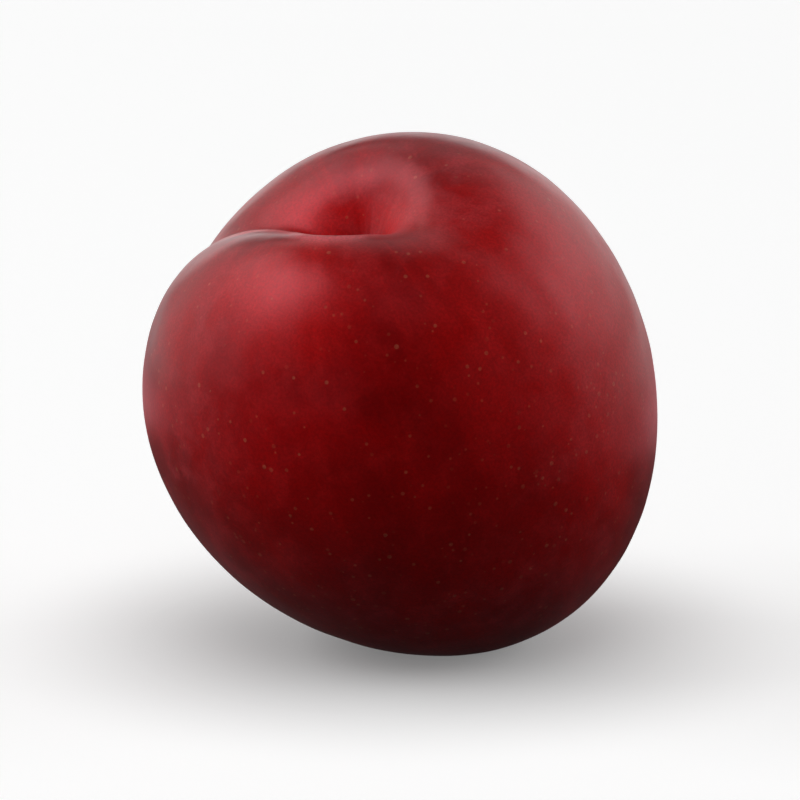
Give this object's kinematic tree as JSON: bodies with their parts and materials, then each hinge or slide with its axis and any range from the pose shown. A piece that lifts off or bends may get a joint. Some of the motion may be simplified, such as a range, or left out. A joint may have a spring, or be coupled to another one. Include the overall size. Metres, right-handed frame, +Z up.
{
  "type": "plum",
  "caption": "Whole ripe dark red dessert plum with a stem hollow and a seam, lying tipped over on a small flat spot.",
  "frame": {"origin": "middle of the plum's box in X and Y, on the surface that it rests on", "axes": "+Z up; the stem end is tipped towards -X and -Y, and the seam runs down the side towards -X and +Y"},
  "size_m": [0.0618, 0.0608, 0.062],
  "materials": {
    "plum_skin": "smooth dark crimson fruit skin with a thin hazy wax bloom"
  },
  "bodies": {
    "root": {"plum": "plum_skin"}
  },
  "joints": []
}
